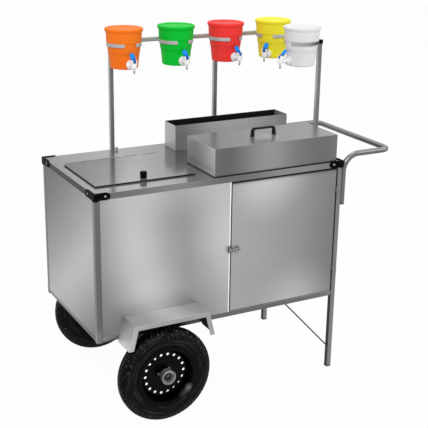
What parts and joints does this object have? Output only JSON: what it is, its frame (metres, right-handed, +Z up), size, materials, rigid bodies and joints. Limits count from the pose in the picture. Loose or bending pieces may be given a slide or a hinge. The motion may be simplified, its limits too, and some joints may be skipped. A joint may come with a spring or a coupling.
{
  "type": "street food push cart",
  "caption": "Stainless push cart for street food: cabinet with hinged door, hatch and lift-off cover, wheels and legs, push handle and a rack of coloured syrup pots with taps.",
  "frame": {"origin": "on the floor, under the middle of the whole cart's bounding box", "axes": "+X towards the push handle, +Y from the door side to the back, +Z up"},
  "size_m": [1.2424, 0.728, 1.337],
  "materials": {
    "stainless": "satin",
    "frame_steel": "satin",
    "fittings": "zinc plated",
    "running_steel": "turned, dull",
    "black_plastic": "satin moulded",
    "seal": "matte",
    "tyre": "matte tread",
    "rim": "gloss black",
    "tap": "moulded",
    "lever": "moulded",
    "orange_pot": "moulded",
    "green_pot": "moulded",
    "red_pot": "moulded",
    "yellow_pot": "moulded",
    "white_pot": "moulded, slightly translucent"
  },
  "bodies": {
    "cart": {"frame": "frame_steel", "end_panels": "stainless", "front_panel": "stainless", "back_panel": "stainless", "floor_panel": "frame_steel", "divider_panel": "frame_steel", "top_plate": "stainless", "corner_caps": "black_plastic", "cap_screws": "fittings", "tube_plugs": "black_plastic", "leg_braces": "frame_steel", "axle": "running_steel", "axle_hangers": "running_steel", "fenders": "stainless", "hex_bolts": "fittings", "push_handle": "frame_steel", "ice_tub": "stainless", "serving_pan": "stainless", "trough": "stainless", "pot_rack": "frame_steel", "post_sockets": "frame_steel", "pot_rings": "frame_steel", "latch_keeper": "fittings", "hinge_leaves": "fittings"},
    "door": {"door_panel": "stainless", "door_hinges": "fittings", "latch_guide": "fittings"},
    "latch_bolt": {"latch_bolt": "fittings"},
    "hatch": {"hatch_lid": "stainless", "hatch_seal": "seal", "hatch_knob": "black_plastic"},
    "cover": {"cover_shell": "stainless", "cover_handle": "black_plastic"},
    "front_wheel": {"front_tyre": "tyre", "front_rim": "rim", "front_hub": "running_steel"},
    "rear_wheel": {"rear_tyre": "tyre", "rear_rim": "rim", "rear_hub": "running_steel"},
    "orange_jug": {"orange_pot": "orange_pot", "orange_tap": "tap"},
    "orange_cap": {"orange_lid": "orange_pot"},
    "orange_tap_lever": {"orange_lever": "lever"},
    "green_jug": {"green_pot": "green_pot", "green_tap": "tap"},
    "green_cap": {"green_lid": "green_pot"},
    "green_tap_lever": {"green_lever": "lever"},
    "red_jug": {"red_pot": "red_pot", "red_tap": "tap"},
    "red_cap": {"red_lid": "red_pot"},
    "red_tap_lever": {"red_lever": "lever"},
    "yellow_jug": {"yellow_pot": "yellow_pot", "yellow_tap": "tap"},
    "yellow_cap": {"yellow_lid": "yellow_pot"},
    "yellow_tap_lever": {"yellow_lever": "lever"},
    "white_jug": {"white_pot": "white_pot", "white_tap": "tap"},
    "white_cap": {"white_lid": "white_pot"},
    "white_tap_lever": {"white_lever": "lever"}
  },
  "joints": [
    {"name": "front_wheel_spin", "type": "hinge", "parent": "cart", "child": "front_wheel", "pos_m": [-0.38875, -0.324, 0.177], "axis": [0, 1, 0], "continuous": true},
    {"name": "rear_wheel_spin", "type": "hinge", "parent": "cart", "child": "rear_wheel", "pos_m": [-0.38875, 0.324, 0.177], "axis": [0, 1, 0], "continuous": true},
    {"name": "door_hinge", "type": "hinge", "parent": "cart", "child": "door", "pos_m": [0.36525, -0.265, 0.584], "axis": [0, 0, 1], "range_deg": [0, 110]},
    {"name": "latch_slide", "type": "slide", "parent": "door", "child": "latch_bolt", "axis": [-1, 0, 0], "range_m": [-0.006, 0.0075]},
    {"name": "hatch_hinge", "type": "hinge", "parent": "cart", "child": "hatch", "pos_m": [-0.39025, 0.126, 0.861], "axis": [-1, 0, 0], "range_deg": [0, 100]},
    {"name": "cover_lift", "type": "slide", "parent": "cart", "child": "cover", "axis": [0, 0, 1], "range_m": [0, 0.2]},
    {"name": "orange_pot_lift", "type": "slide", "parent": "cart", "child": "orange_jug", "axis": [0, 0, 1], "range_m": [0, 0.18]},
    {"name": "orange_lid_lift", "type": "slide", "parent": "orange_jug", "child": "orange_cap", "axis": [0, 0, 1], "range_m": [0, 0.1]},
    {"name": "orange_tap_turn", "type": "hinge", "parent": "orange_jug", "child": "orange_tap_lever", "pos_m": [-0.32075, 0.07177, 1.227], "axis": [1, 0, 0], "range_deg": [0, 55], "stiffness_Nm_per_rad": 0.05},
    {"name": "green_pot_lift", "type": "slide", "parent": "cart", "child": "green_jug", "axis": [0, 0, 1], "range_m": [0, 0.18]},
    {"name": "green_lid_lift", "type": "slide", "parent": "green_jug", "child": "green_cap", "axis": [0, 0, 1], "range_m": [0, 0.1]},
    {"name": "green_tap_turn", "type": "hinge", "parent": "green_jug", "child": "green_tap_lever", "pos_m": [-0.10848, 0.07177, 1.227], "axis": [1, 0, 0], "range_deg": [0, 55], "stiffness_Nm_per_rad": 0.05},
    {"name": "red_pot_lift", "type": "slide", "parent": "cart", "child": "red_jug", "axis": [0, 0, 1], "range_m": [0, 0.18]},
    {"name": "red_lid_lift", "type": "slide", "parent": "red_jug", "child": "red_cap", "axis": [0, 0, 1], "range_m": [0, 0.1]},
    {"name": "red_tap_turn", "type": "hinge", "parent": "red_jug", "child": "red_tap_lever", "pos_m": [0.11659, 0.07266, 1.227], "axis": [0.9903, 0.1392, 0], "range_deg": [0, 55], "stiffness_Nm_per_rad": 0.05},
    {"name": "yellow_pot_lift", "type": "slide", "parent": "cart", "child": "yellow_jug", "axis": [0, 0, 1], "range_m": [0, 0.18]},
    {"name": "yellow_lid_lift", "type": "slide", "parent": "yellow_jug", "child": "yellow_cap", "axis": [0, 0, 1], "range_m": [0, 0.1]},
    {"name": "yellow_tap_turn", "type": "hinge", "parent": "yellow_jug", "child": "yellow_tap_lever", "pos_m": [0.24555, 0.10464, 1.227], "axis": [0.6428, -0.766, 0], "range_deg": [0, 55], "stiffness_Nm_per_rad": 0.05},
    {"name": "white_pot_lift", "type": "slide", "parent": "cart", "child": "white_jug", "axis": [0, 0, 1], "range_m": [0, 0.18]},
    {"name": "white_lid_lift", "type": "slide", "parent": "white_jug", "child": "white_cap", "axis": [0, 0, 1], "range_m": [0, 0.1]},
    {"name": "white_tap_turn", "type": "hinge", "parent": "white_jug", "child": "white_tap_lever", "pos_m": [0.22402, -0.04847, 1.227], "axis": [0, -1, 0], "range_deg": [0, 55], "stiffness_Nm_per_rad": 0.05}
  ]
}
